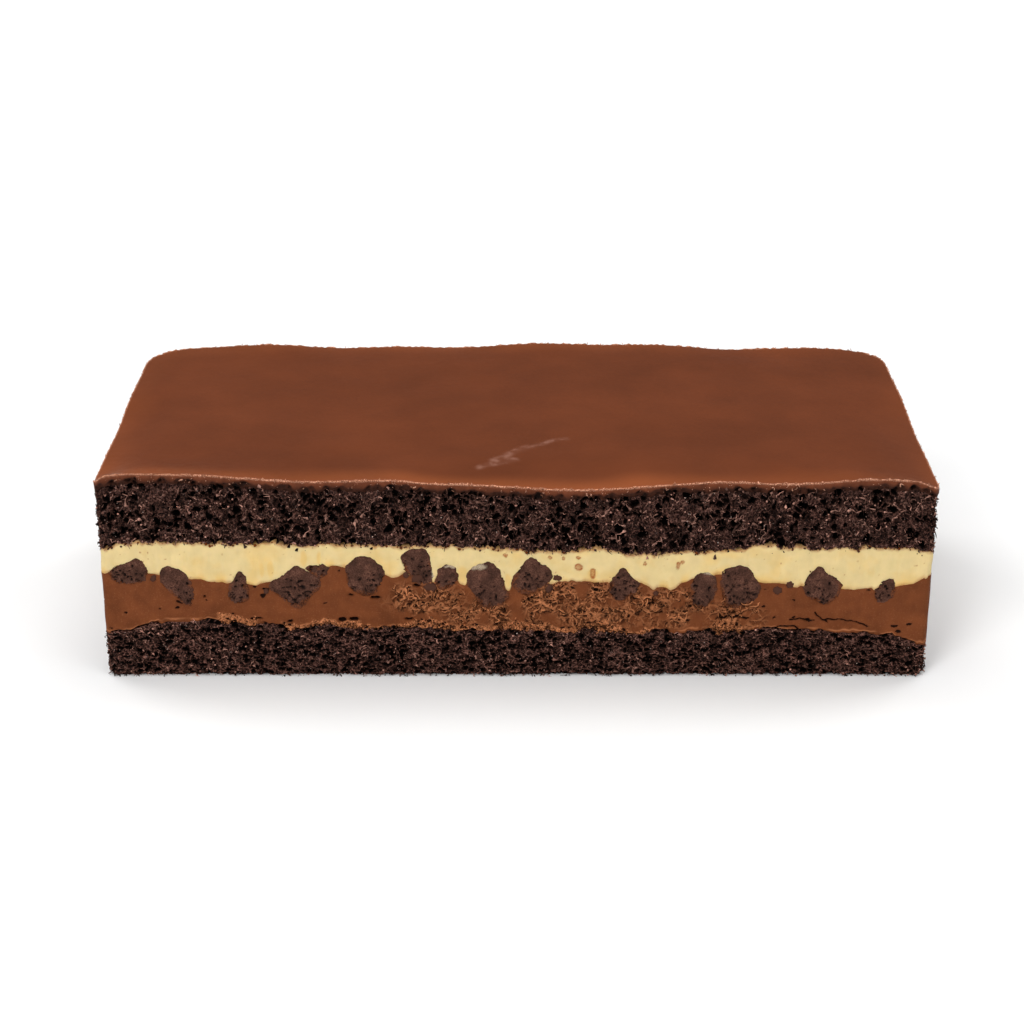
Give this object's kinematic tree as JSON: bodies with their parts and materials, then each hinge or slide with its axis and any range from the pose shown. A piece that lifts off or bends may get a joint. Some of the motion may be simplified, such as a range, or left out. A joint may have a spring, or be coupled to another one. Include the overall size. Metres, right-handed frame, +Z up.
{
  "type": "tuxedo cake",
  "caption": "Bar of layered chocolate cake: dark sponge, chocolate mousse with diced brownie, vanilla mousse, dark sponge and a set ganache top, all four sides cut to show the layers.",
  "frame": {"origin": "centre of the flat underside of the cake", "axes": "+X along the bar, to the right as its front cut is seen; +Y from the front cut to the back cut; +Z up"},
  "size_m": [0.254, 0.127, 0.0678],
  "materials": {
    "sponge": "very dark open-crumbed chocolate sponge, dull, with small moist glints",
    "chocolate_mousse": "smooth mid-brown mousse with pinholes, drag marks and flakes",
    "vanilla_mousse": "soft cream-coloured mousse, satin, slightly translucent",
    "ganache": "set milk-brown ganache, satin and gently uneven",
    "brownie": "dense dark grey-brown brownie, matt and fine-grained"
  },
  "bodies": {
    "root": {"sponge_bottom": "sponge", "chocolate_mousse": "chocolate_mousse", "vanilla_mousse": "vanilla_mousse", "sponge_top": "sponge", "ganache": "ganache", "brownie_front_01": "brownie", "brownie_front_02": "brownie", "brownie_front_03": "brownie", "brownie_front_04": "brownie", "brownie_front_05": "brownie", "brownie_front_06": "brownie", "brownie_front_07": "brownie", "brownie_front_08": "brownie", "brownie_front_09": "brownie", "brownie_front_10": "brownie", "brownie_front_11": "brownie", "brownie_front_12": "brownie", "brownie_front_13": "brownie", "brownie_front_14": "brownie", "brownie_front_15": "brownie", "brownie_back_01": "brownie", "brownie_back_02": "brownie", "brownie_back_03": "brownie", "brownie_back_04": "brownie", "brownie_back_05": "brownie", "brownie_back_06": "brownie", "brownie_back_07": "brownie", "brownie_back_08": "brownie", "brownie_back_09": "brownie", "brownie_back_10": "brownie", "brownie_back_11": "brownie", "brownie_back_12": "brownie", "brownie_back_13": "brownie", "brownie_back_14": "brownie", "brownie_left_01": "brownie", "brownie_left_02": "brownie", "brownie_left_03": "brownie", "brownie_left_04": "brownie", "brownie_left_05": "brownie", "brownie_right_01": "brownie", "brownie_right_02": "brownie", "brownie_right_03": "brownie", "brownie_right_04": "brownie", "brownie_right_05": "brownie"}
  },
  "joints": []
}
